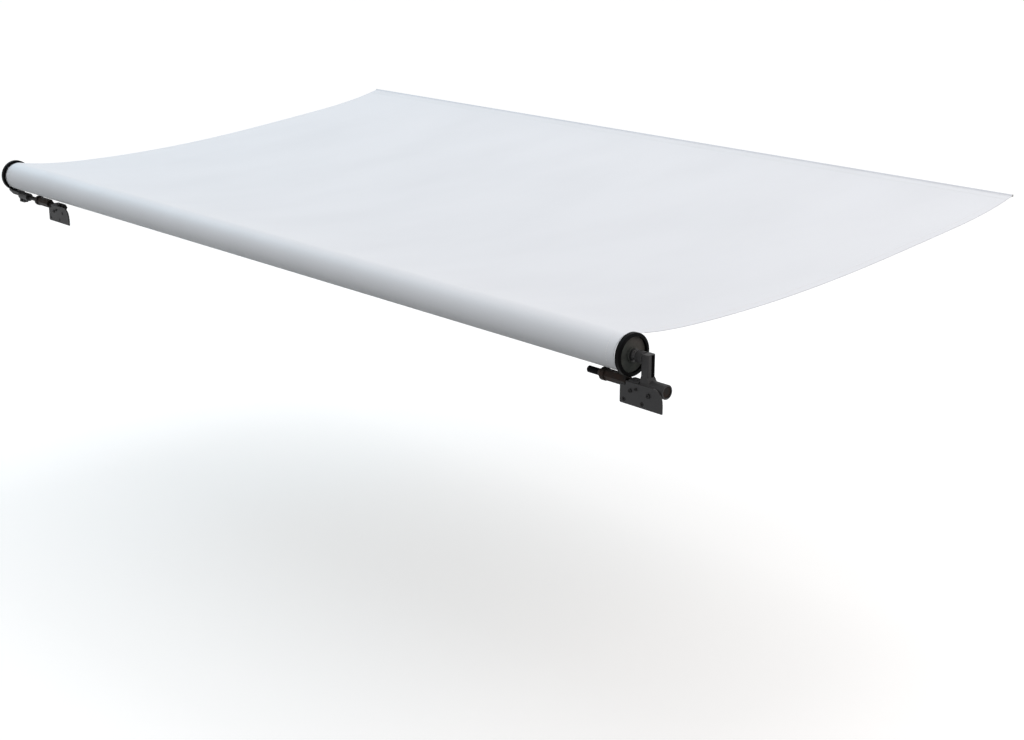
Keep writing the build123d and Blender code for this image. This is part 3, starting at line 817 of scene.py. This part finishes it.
@dataclass
class Cloth:
    """The cover's cloth: the turns on the roller, the open sheet and the hem at the wall."""

    MAP = "cloth_map"

    top: bpy.types.Material
    underside: bpy.types.Material
    thread: bpy.types.Material
    rope: bpy.types.Material
    side_hem: float = 26 * MM
    hem_gap: float = 0.04 * MM
    stitch_inset: float = 21 * MM
    turns: int = 2
    layer_step: float = 0.1
    wound_share: float = 0.9
    hem_share: float = 0.94
    hem_rows: Point = (8 * MM, 25 * MM)
    across_steps: int = 128
    along_steps: int = 150
    wound_steps: int = 32
    turn_steps: int = 96
    hem_steps: int = 48
    ripple: float = 1.4 * MM
    slack_hold: float = 0.7
    slack_waves: tuple[tuple[float, ...], ...] = ((1.0, 1.6, 1.1, 4.2), (0.35, 5.5, 1.4, 9.7))
    clear_row: int = 5
    fold_row: int = 54
    fold_met: Point = (0.09, 0.09)
    joint: str = "wall_edge_slide"

    def __post_init__(self) -> None:
        """Read the cloth's place from the frame."""
        low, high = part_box("fabric_panel")
        self.left, self.right = low.x, high.x
        wraps_low, wraps_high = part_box("fabric_wraps")
        self.axis = Vector((0.0, (wraps_low.y + wraps_high.y) / 2, (wraps_low.z + wraps_high.z) / 2))
        self.roll_radius = (wraps_high.z - wraps_low.z) / 2
        self.line = SagLine(self.roll_radius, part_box("wall_hem")[1].y - self.axis.y)
        self.points, self.normals, self.along = self.line.curve(self.along_steps + 1)
        travel = next(j for j in frame["joints"] if j["name"] == self.joint)["range_m"][1]
        start, fold, end = (self.points[i] for i in (0, self.fold_row, self.along_steps))
        shift = np.array(self.fold_met) - fold
        self.spans = (
            Span("near", Body.BRACKETS, 0, self.fold_row, start, fold, shift),
            Span("far", Body.WALL_EDGE, self.fold_row, self.along_steps, end, fold, shift + (travel, 0.0)),
        )

    def place(self, x: float, point: Point) -> Vector:
        """Point in the frame from one in the side view.

        Args:
            x: Place along the roller.
            point: Place in the side view, from the roller's axis.

        Returns:
            The point.
        """
        return Vector((x, self.axis.y + point[0], self.axis.z + point[1]))

    def lift(self, x: float, along: float) -> float:
        """Height of the cloth's slack at a place, which is nothing at its two held ends."""
        share = along / self.along[-1]
        hold = math.sin(math.pi * min(1.0, max(0.0, share))) ** self.slack_hold
        waves = (
            size * noise.noise(Vector((x * across, along * down, seed)))
            for size, across, down, seed in self.slack_waves
        )
        return self.ripple * hold * sum(waves)

    def surface(self, x: float, along: float, side: float) -> tuple[Vector, Vector]:
        """Point on the open sheet.

        Args:
            x: Place along the roller.
            along: Distance along the cloth from the roll.
            side: Height over the cloth's middle.

        Returns:
            The point and the upward normal there.
        """
        spot = [float(np.interp(along, self.along, self.points[:, k])) for k in (0, 1)]
        normal = [float(np.interp(along, self.along, self.normals[:, k])) for k in (0, 1)]
        height = side + self.lift(x, along)
        point = (spot[0] + normal[0] * height, spot[1] + normal[1] * height)
        return self.place(x, point), Vector((0.0, *normal))

    def strip(self, draft: MeshDraft, span: Span, xs: Sequence[float], top: float, bottom: float) -> None:
        """Closed strip of the open sheet.

        Args:
            draft: The mesh that takes the strip.
            span: The part of the sheet that it belongs to.
            xs: Places along the roller, from left to right.
            top: Height of its upper face over the cloth's middle.
            bottom: Height of its lower face.
        """
        upper, lower = [], []
        for along in self.along[span.first : span.last + 1]:
            for rows, height in ((upper, top), (lower, bottom)):
                rows.append([draft.add(self.surface(x, along, height)[0], (x, along)) for x in xs])
        draft.shell(upper, lower)

    def open_sheet(self, span: Span) -> bpy.types.Object:
        """One span of the sheet between the roll and the wall hem.

        Args:
            span: The span.

        Returns:
            The new piece.
        """
        half = self.line.cloth / 2
        draft = MeshDraft()
        self.strip(draft, span, np.linspace(self.left, self.right, self.across_steps + 1), half, -half)
        sheet = draft.piece(f"cloth_sheet_{span.name}", [self.top, self.underside])
        return span.gather(sheet, self.joint, self.axis, "fabric_panel")

    def clear_part(self, span: Span) -> Span:
        """The part of a span whose underside has left the roll."""
        return replace(span, first=max(span.first, self.clear_row))

    def side_hems(self, span: Span) -> bpy.types.Object:
        """The folded strips under a span's two side edges.

        Args:
            span: The span.

        Returns:
            The new piece.
        """
        upper = -self.line.cloth / 2 - self.hem_gap
        draft = MeshDraft()
        for start in (self.left, self.right - self.side_hem):
            xs = np.linspace(start, start + self.side_hem, 4)
            self.strip(draft, self.clear_part(span), xs, upper, upper - self.line.cloth)
        hems = draft.piece(f"side_hems_{span.name}", [self.top, self.underside])
        return span.gather(hems, self.joint, self.axis)

    def side_stitches(self, span: Span) -> bpy.types.Object:
        """The stitch rows that hold a span's side hems, above and below.

        Args:
            span: The span.

        Returns:
            The new piece.
        """
        half = self.line.cloth / 2
        draft = MeshDraft()
        for part, height, side in ((span, half, 1.0), (self.clear_part(span), -half - self.line.cloth, -1.0)):
            start, end = (float(self.along[row]) for row in (part.first, part.last))
            for x in (self.left + self.stitch_inset, self.right - self.stitch_inset):

                def at(s: float) -> tuple[Vector, Vector]:
                    """Point and outward normal at a distance along the row."""
                    point, normal = self.surface(x, start + s, height)
                    return point, normal * side

                StitchRow().lay(draft, at, end - start)
        stitches = draft.piece(f"side_stitches_{span.name}", [self.thread])
        return span.gather(stitches, self.joint, self.axis)

    def roll_radius_at(self, turn: float) -> float:
        """Radius of the wound cloth's middle after a number of turns from its inner end."""
        inner = self.roll_radius - self.turns * self.line.cloth
        layers = [inner + (i + 0.5) * self.line.cloth for i in range(self.turns)]
        layers += [math.hypot(*self.line.start)] * 2
        whole = math.floor(turn)
        step = min(1.0, max(0.0, 1 - (whole + 1 - turn) / self.layer_step))
        return layers[whole] + (layers[whole + 1] - layers[whole]) * step * step * (3 - 2 * step)

    def wound_cloth(self) -> bpy.types.Object:
        """The turns already on the roller."""
        xs = np.linspace(self.left, self.right, self.wound_steps + 1)
        half = self.wound_share / 2 * self.line.cloth
        draft = MeshDraft()
        outer, inner = [], []
        for i in range(self.turns * self.turn_steps + 1):
            turn = i / self.turn_steps
            angle = math.pi / 2 - self.line.leave_angle + 2 * math.pi * (self.turns - turn)
            radius = self.roll_radius_at(turn)
            along = turn * 2 * math.pi * self.roll_radius
            for rows, offset in ((outer, half), (inner, -half)):
                size = radius + offset
                spot = self.place(0.0, (size * math.cos(angle), size * math.sin(angle)))
                rows.append(draft.row(xs, spot, along))
        draft.shell(outer, inner)
        wound = draft.piece("wound_cloth", [self.top, self.underside])
        return settle(wound, Body.ROLLER, Slot.VINYL, "fabric_wraps")

    def wound_stitches(self) -> bpy.types.Object:
        """The side hems' stitches where they go round the roller."""
        draft = MeshDraft()

        def round_roll(x: float) -> Callable[[float], tuple[Vector, Vector]]:
            """Places along a ring on the wound cloth."""

            def at(s: float) -> tuple[Vector, Vector]:
                """Point and outward normal at a distance round the roll."""
                angle = s / self.roll_radius
                way = (math.cos(angle), math.sin(angle))
                spot = (self.roll_radius * way[0], self.roll_radius * way[1])
                return self.place(x, spot), Vector((0.0, *way))

            return at

        run = 2 * math.pi * self.roll_radius
        row = StitchRow()
        for x in (self.left + self.stitch_inset, self.right - self.stitch_inset):
            row.lay(draft, round_roll(x), run)
        return settle(draft.piece("wound_stitches", [self.thread]), Body.ROLLER, Slot.VINYL)

    def wall_point(self, back: float, up: float) -> Vector:
        """Side-view point of the wall hem.

        Args:
            back: Distance towards the roll from the rope's centre, along the hem.
            up: Height over the hem's middle.

        Returns:
            The point, at X = 0.
        """
        pitch = self.line.hem_pitch
        across, height = self.line.hem_centre
        spot = (
            across - back * math.cos(pitch) - up * math.sin(pitch),
            height - back * math.sin(pitch) + up * math.cos(pitch),
        )
        return self.place(0.0, spot)

    def hem_path(self) -> list[Point]:
        """Middle of the cloth that folds round the rope: out along the top, round, and back below."""
        lay = self.line.cloth / 2
        radius = self.line.hem_radius - lay
        tail = self.line.hem_radius + self.line.hem_tail
        tip, taper, neck, steps = self.line.gap * 0.8, 1.5 * MM, 0.35, 36
        far, near, rise = radius * 2.2, radius * 1.35, lay * 1.2
        meet = math.asin(lay / radius)
        path = [(tail + tip, 0.0), (tail - taper, lay), (far, lay), (near, rise)]
        for i in range(steps + 1):
            angle = meet + neck + (2 * math.pi - 2 * meet - 2 * neck) * i / steps
            path.append((radius * math.cos(angle), radius * math.sin(angle)))
        return path + [(near, -rise), (far, -lay), (tail, -lay)]

    def wall_hem(self) -> bpy.types.Object:
        """The folded edge round the wall rope."""
        path = self.hem_path()
        xs = np.linspace(self.left, self.right, self.hem_steps + 1)
        half = self.hem_share / 2 * self.line.cloth
        draft = MeshDraft()
        outer, inner = [], []
        along = 0.0
        for i, (back, up) in enumerate(path):
            before, after = path[max(0, i - 1)], path[min(len(path) - 1, i + 1)]
            way = Vector((after[0] - before[0], after[1] - before[1])).normalized()
            normal = Vector((way.y, -way.x))
            if i:
                along += math.dist(path[i - 1], path[i])
            for rows, offset in ((outer, half), (inner, -half)):
                spot = self.wall_point(back + normal.x * offset, up + normal.y * offset)
                rows.append(draft.row(xs, spot, along))
        draft.shell(outer, inner)
        self.hem_length = along
        hem = draft.piece("wall_hem_fold", [self.top, self.underside])
        return settle(hem, Body.WALL_EDGE, Slot.VINYL, "wall_hem")

    def wall_stitches(self) -> bpy.types.Object:
        """Two stitch rows along the wall hem, on both of its faces."""
        draft = MeshDraft()
        pitch = self.line.hem_pitch
        for back in self.hem_rows:
            for side in (1.0, -1.0):
                start = self.wall_point(back, side * self.line.cloth) + Vector((self.left, 0, 0))
                normal = Vector((0.0, -math.sin(pitch), math.cos(pitch))) * side

                def at(s: float) -> tuple[Vector, Vector]:
                    """Point and outward normal at a distance along the row."""
                    return start + Vector((s, 0, 0)), normal

                StitchRow().lay(draft, at, self.right - self.left)
        return settle(draft.piece("wall_stitches", [self.thread]), Body.WALL_EDGE, Slot.VINYL)

    def laid_rope(self, name: str, node: str, body: Body) -> bpy.types.Object:
        """Three-strand rope in place of a plain round one.

        Args:
            name: The piece's name.
            node: The node that it replaces.
            body: The body that it rides on.

        Returns:
            The new piece.
        """
        low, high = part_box(node)
        radius = (high.z - low.z) / 2
        middle = (low + high) / 2
        ring_pitch, lay_length, strands, groove, sides = 3 * MM, 22 * MM, 3, 0.2, 18
        rings = int((high.x - low.x) / ring_pitch)
        draft = MeshDraft()
        rows = []
        for i in range(rings + 1):
            x = low.x + (high.x - low.x) * i / rings
            row = []
            for k in range(sides):
                angle = 2 * math.pi * k / sides
                strand = abs(math.cos(strands / 2 * (angle - 2 * math.pi * x / lay_length)))
                size = radius * (1 - groove + groove * strand)
                spot = Vector((x, middle.y + size * math.cos(angle), middle.z + size * math.sin(angle)))
                row.append(draft.add(spot))
            rows.append(row)
        draft.loft(rows)
        return settle(draft.piece(name, [self.rope], smooth=60.0), body, Slot.ROPE, node)

    def build(self) -> None:
        """Make every piece of the cloth."""
        carriers = (["wound_cloth"], ["cloth_sheet_near", "wall_hem_fold"])
        for span, rests_on in zip(self.spans, carriers):
            sheet = self.open_sheet(span)
            trims = [self.side_hems(span), self.side_stitches(span)]
        wound = self.wound_cloth()
        wound_stitches = self.wound_stitches()
        hem = self.wall_hem()
        wall_stitches = self.wall_stitches()
        self.laid_rope("wall_rope_laid", "wall_rope", Body.WALL_EDGE)
        self.laid_rope("roller_rope_laid", "roller_rope", Body.ROLLER)
        wound_length = 2 * math.pi * (self.roll_radius - self.turns * self.line.cloth / 2) * self.turns


# CAD pieces

@dataclass
class Hardware:
    """Finishes of the rigid pieces, which keep their CAD shapes."""

    cap_rim: float = 7.6 * MM

    def dress(self, finish: Finish, slot: Slot, *nodes: str) -> None:
        """Give CAD nodes a finish.

        Args:
            finish: The finish.
            slot: The record's slot that it stands for; not used.
            nodes: Names of the nodes.
        """
        material = finish.build()
        for name in nodes:
            piece = frame["nodes"][name]
            piece.data.materials.clear()
            piece.data.materials.append(material)
            log.info("%s: %s", name, material.name)

    def end_caps(self) -> None:
        """Moulded caps, each with a dark rim round its face."""
        for side in ("right", "left"):
            low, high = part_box(f"{side}_end_cap")
            centre = ((low.y + high.y) / 2, (low.z + high.z) / 2)
            finish = MouldedCap(
                f"{side} moulded cap",
                (0.07, 0.076, 0.071),
                roughness=0.5,
                speckle=0.5 * MM,
                tone=0.25,
                specular=0.04,
                centre=centre,
                rim_radius=(high.z - low.z) / 2 - self.cap_rim,
            )
            self.dress(finish, Slot.CAP_PLASTIC, f"{side}_end_cap")

    def roller(self) -> None:
        """Tube, plugs, bushes and shafts."""
        tube = DrawnMetal("mill aluminium", (0.72, 0.73, 0.75), 0.38, 1.0, relief=0.015 * MM, tone=0.12)
        self.dress(tube, Slot.TUBE, "roller_tube")
        steel = DrawnMetal("drawn steel", (0.42, 0.42, 0.43), 0.34, 1.0, relief=0.015 * MM)
        self.dress(steel, Slot.STEEL, "right_stub_shaft", "left_spring_shaft", "shaft_clips")
        self.dress(steel, Slot.STEEL, "torsion_spring", "anchor_pin", "handle_pins")
        acetal = Finish("black acetal", (0.018, 0.018, 0.019), 0.35, speckle=3 * MM, relief=0.004 * MM)
        self.dress(acetal, Slot.BUSH, "right_bush", "left_bush", "thrust_washers", "inner_guide")

    def brackets(self) -> None:
        """Plates, housings, arms and what holds them."""
        casting = PaintedCasting(
            "painted casting",
            (0.0245, 0.024, 0.0255),
            speckle=1.3 * MM,
            relief=0.14 * MM,
            tone=0.36,
            specular=0.3,
        )
        self.dress(
            casting,
            Slot.CASTING,
            "right_base_plate",
            "left_base_plate",
            "right_rod_housing",
            "left_rod_housing",
            "right_arm",
            "left_arm",
            "spring_plug",
            "spring_anchor",
        )
        oxide = OxideSteel("oxide steel", (0.007, 0.006, 0.0056), 0.48, 0.2, speckle=0.7 * MM, specular=0.15)
        self.dress(oxide, Slot.DARK_STEEL, "right_rod_handle", "left_rod_handle", "sleeve_plug")
        black = PaintedCasting(
            "black cap paint", (0.004, 0.004, 0.005), 0.45, worn=(0.02, 0.02, 0.022), specular=0.03
        )
        self.dress(black, Slot.BLACK_ALUMINIUM, "rod_cap")
        rod = DrawnMetal("blackened rod", (0.007, 0.006, 0.006), 0.45, 0.2, relief=0.02 * MM, specular=0.1)
        self.dress(rod, Slot.DARK_STEEL, "right_clamp_rod", "left_clamp_rod")
        zinc = OxideSteel(
            "blackened zinc",
            (0.008, 0.008, 0.009),
            0.38,
            0.5,
            speckle=0.5 * MM,
            brown=(0.014, 0.013, 0.012),
            bare=(0.08, 0.08, 0.085),
            specular=0.25,
        )
        bright = OxideSteel(
            "bright zinc",
            (0.5, 0.5, 0.52),
            0.3,
            1.0,
            speckle=0.5 * MM,
            brown=(0.4, 0.39, 0.38),
            bare=(0.7, 0.7, 0.72),
        )
        self.dress(bright, Slot.ZINC, "end_cap_screws")
        self.dress(zinc, Slot.ZINC, "housing_screws", "arm_screw", "rod_nut")
        self.dress(zinc, Slot.ZINC, "pinch_screw", "shaft_grub_screws")
        WallScrews(zinc).build()
        nylon = Finish(
            "black nylon", (0.008, 0.008, 0.009), 0.45, speckle=2 * MM, relief=0.01 * MM, specular=0.2
        )
        HolePlug(nylon).build()

    def build(self) -> None:
        """Dress every rigid piece."""
        self.end_caps()
        self.roller()
        self.brackets()


@dataclass
class WallScrews:
    """Countersunk screws with a hexagon socket, in the wall holes of both plates."""

    finish: Finish
    head_radius: float = 4.85 * MM
    rim: float = 0.4 * MM
    shank_radius: float = 2.75 * MM
    thread_depth: float = 0.4 * MM
    thread_pitch: float = 1.8 * MM
    length: float = 16 * MM
    socket: float = 2.3 * MM
    socket_depth: float = 1.8 * MM
    turn_steps: int = 8
    sides: int = 36

    def thread(self, depth: float) -> Callable[[float], float]:
        """Radius round the shank at a depth, on a single-start thread."""
        core = self.shank_radius - self.thread_depth

        def size(angle: float) -> float:
            """Radius at an angle."""
            turn = (depth / self.thread_pitch + angle / (2 * math.pi)) % 1.0
            return core + self.thread_depth * max(0.0, 1 - abs(turn - 0.5) * 4)

        return size

    def hexagon(self, angle: float) -> float:
        """Radius of the socket's outline at an angle."""
        sector = math.pi / 3
        return self.socket * math.cos(sector / 2) / math.cos(angle % sector - sector / 2)

    def screw(self, draft: MeshDraft, head: Vector) -> None:
        """Add one screw.

        Args:
            draft: The mesh that takes it.
            head: Middle of the head's face.
        """
        cone = self.head_radius - self.shank_radius
        profile: list[tuple[float, Callable[[float], float]]] = [
            (self.socket_depth, self.hexagon),
            (0.0, self.hexagon),
        ]
        for depth, size in (
            (0.0, self.head_radius - self.rim / 2),
            (self.rim / 2, self.head_radius),
            (self.rim, self.head_radius),
            (self.rim + cone, self.shank_radius),
            (self.rim + cone + self.thread_pitch / 2, self.shank_radius),
        ):
            profile.append((depth, lambda angle, size=size: size))
        start = self.rim + cone + self.thread_pitch
        step = self.thread_pitch / self.turn_steps
        for i in range(int((self.length - start) / step)):
            depth = start + i * step
            profile.append((depth, self.thread(depth)))
        profile.append((self.length, lambda angle: self.shank_radius / 3))
        rings = [draft.ring(head, depth, self.sides, size) for depth, size in profile]
        draft.loft(rings[::-1])

    def build(self) -> None:
        """Put a screw in each hole."""
        draft = MeshDraft()
        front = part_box("right_base_plate")[0].y
        for mount in frame["record"]["mounts"]:
            if mount["kind"] == "bolt_pattern":
                half = mount["dims"]["spacing_x_mm"] / 2 * MM
                middle = Vector(mount["pos_m"])
                for shift in (-half, half):
                    self.screw(draft, Vector((middle.x + shift, front + self.rim / 2, middle.z)))
        screws = draft.piece("wall_screws", [self.finish.build()], smooth=35.0)
        settle(screws, Body.BRACKETS, Slot.ZINC)


@dataclass
class HolePlug:
    """Snap-in blanking plug in the left plate's spare hole.

    Its profile has radii and depths in millimetres, from the middle of its face to that of its hollow end.
    """

    finish: Finish
    profile: tuple[Point, ...] = (
        (0.0, -1.7), (1.8, -1.6), (3.4, -1.25), (4.5, -0.6), (4.7, -0.05), (2.9, -0.05), (2.9, 3.9),
        (3.0, 4.05), (3.5, 4.5), (2.7, 5.8), (2.0, 6.0), (1.8, 4.0), (0.0, 3.8),
    )
    sides: int = 32

    def build(self) -> None:
        """Turn the profile round the hole's axis."""
        patterns = [m for m in frame["record"]["mounts"] if m["kind"] == "bolt_pattern"]
        right, left = (Vector(mount["pos_m"]) for mount in patterns)
        low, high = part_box("arm_screw")
        hole = (low + high) / 2 + left - right
        hole.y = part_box("left_base_plate")[0].y
        draft = MeshDraft()
        rings = [
            draft.ring(hole, depth * MM, self.sides, lambda angle, radius=radius: radius * MM)
            for radius, depth in self.profile[1:-1]
        ]
        for first, second in zip(rings, rings[1:]):
            draft.bridge(second, first, closed=True)
        first_depth, last_depth = self.profile[0][1], self.profile[-1][1]
        for ring, depth, turned in ((rings[0], first_depth, False), (rings[-1], last_depth, True)):
            middle = draft.add(hole + Vector((0.0, depth, 0.0)) * MM)
            for i, point in enumerate(ring):
                after = ring[(i + 1) % self.sides]
                draft.face((point, middle, after) if turned else (point, after, middle))
        settle(draft.piece("hole_plug", [self.finish.build()], smooth=35.0), Body.BRACKETS, Slot.BUSH)


# Studio

@dataclass
class Lamp:
    """A large soft lamp that points at the object."""

    name: str
    place: tuple[float, float, float]
    width: float
    power: float
    colour: Colour = (1.0, 1.0, 1.0)

    def build(self, target: Vector) -> None:
        """Hang the lamp.

        Args:
            target: The point that it faces.
        """
        data = bpy.data.lights.new(self.name, "AREA")
        data.shape = "SQUARE"
        data.size = self.width
        data.energy = self.power
        data.color = self.colour
        lamp = bpy.data.objects.new(self.name, data)
        lamp.location = self.place
        lamp.rotation_mode = "QUATERNION"
        lamp.rotation_quaternion = (target - Vector(self.place)).to_track_quat("-Z", "Y")
        bpy.context.scene.collection.objects.link(lamp)


@dataclass
class Studio:
    """Pale floor, soft lamps, sky and the camera at the photograph's angle."""

    camera_place: tuple[float, float, float] = (2.23945, -2.3925, 1.0742)
    heading: float = math.radians(47.348)
    dip: float = math.radians(17.166)
    tilt: float = math.radians(0.04)
    lens: float = 60.9
    sensor: float = 36.0
    sight: float = 200.0
    lit: tuple[float, float, float] = (-1.3, 0.6, 0.1)
    floor_drop: float = 0.9
    floor_width: float = 120.0
    floor_seen: Colour = (0.8, 0.8, 0.8)
    floor_glow: Colour = (0.37, 0.37, 0.37)
    floor_bounce: Colour = (0.162, 0.165, 0.157)
    dark: Colour = (0.0, 0.0, 0.0)
    sky: Colour = (0.8, 0.8, 0.8)
    sky_seen: Colour = (1.0, 1.0, 1.0)

    def camera(self) -> None:
        """Set up the camera."""
        data = bpy.data.cameras.new("camera")
        data.sensor_width = self.sensor
        data.lens = self.lens
        data.clip_end = self.sight
        camera = bpy.data.objects.new("camera", data)
        camera.location = self.camera_place
        turn = Matrix.Rotation(self.heading, 3, "Z") @ Matrix.Rotation(math.pi / 2 - self.dip, 3, "X")
        camera.rotation_euler = (turn @ Matrix.Rotation(self.tilt, 3, "Z")).to_euler()
        bpy.context.scene.collection.objects.link(camera)
        bpy.context.scene.camera = camera

    def seen_share(self, graph: Graph) -> Wire:
        """1 for rays that the camera sees straight, in a reflection or through glass."""
        names = ("Is Camera Ray", "Is Glossy Ray", "Is Transmission Ray")
        rays = [graph.node("ShaderNodeLightPath", {}, {}, name) for name in names]
        return (rays[0] + rays[1] + rays[2]).clipped()

    def floor(self) -> None:
        """Lay the floor below the brackets."""
        half = self.floor_width / 2
        height = cad_box[0].z - self.floor_drop
        draft = MeshDraft()
        corners = ((-half, -half), (half, -half), (half, half), (-half, half))
        draft.face([draft.add(Vector((x, y, height))) for x, y in corners])
        material, graph = Graph.paint("studio floor")
        seen = self.seen_share(graph)
        graph.set(
            base_color=graph.mixed(seen, self.floor_bounce, self.floor_seen),
            emission_color=graph.mixed(seen, self.dark, self.floor_glow),
            emission_strength=1.0,
            roughness=0.95,
            specular_ior_level=0.0,
        )
        draft.piece("studio_floor", [material])

    def world(self) -> None:
        """Light the object evenly from all round, with white behind it."""
        world = bpy.data.worlds.new("studio sky")
        bpy.context.scene.world = world
        world.use_nodes = True
        graph = Graph(world.node_tree, "Background")
        graph.set(color=graph.mixed(self.seen_share(graph), self.sky, self.sky_seen), strength=1.0)

    def lamps(self) -> None:
        """Hang the lamps."""
        for lamp in (
            Lamp("top lamp", (-1.3, 3.4, 4.6), 3.0, 58.0),
            Lamp("left lamp", (-5.0, -0.2, 2.6), 2.6, 20.0, (0.2, 0.7, 1.0)),
            Lamp("right lamp", (2.2, 1.2, 2.6), 2.2, 16.0, (1.0, 0.75, 0.62)),
        ):
            lamp.build(Vector(self.lit))

    def build(self) -> None:
        """Set up the whole studio."""
        self.camera()
        self.floor()
        self.world()
        self.lamps()
        bpy.context.scene.view_settings.view_transform = "Standard"


def main() -> None:
    """Build the looks of the slide topper."""
    logging.basicConfig(level=logging.INFO, format="%(message)s")
    white = (0.732, 0.75, 0.79)
    cloth = Cloth(
        top=CoatedCloth("vinyl face", white, 0.42, speckle=2.5 * MM, relief=0.05 * MM).build(),
        underside=CoatedCloth("vinyl back", (0.76, 0.765, 0.77), 0.6, relief=0.12 * MM, soil=0.08).build(),
        thread=Finish("polyester thread", (0.82, 0.82, 0.81), 0.6, speckle=0.3 * MM, tone=0.06).build(),
        rope=LaidRope("laid rope", (0.8, 0.79, 0.76), 0.6, relief=0.1 * MM, tone=0.18).build(),
    )
    cloth.build()
    Hardware().build()
    Studio().build()


if __name__ == "__main__":
    main()
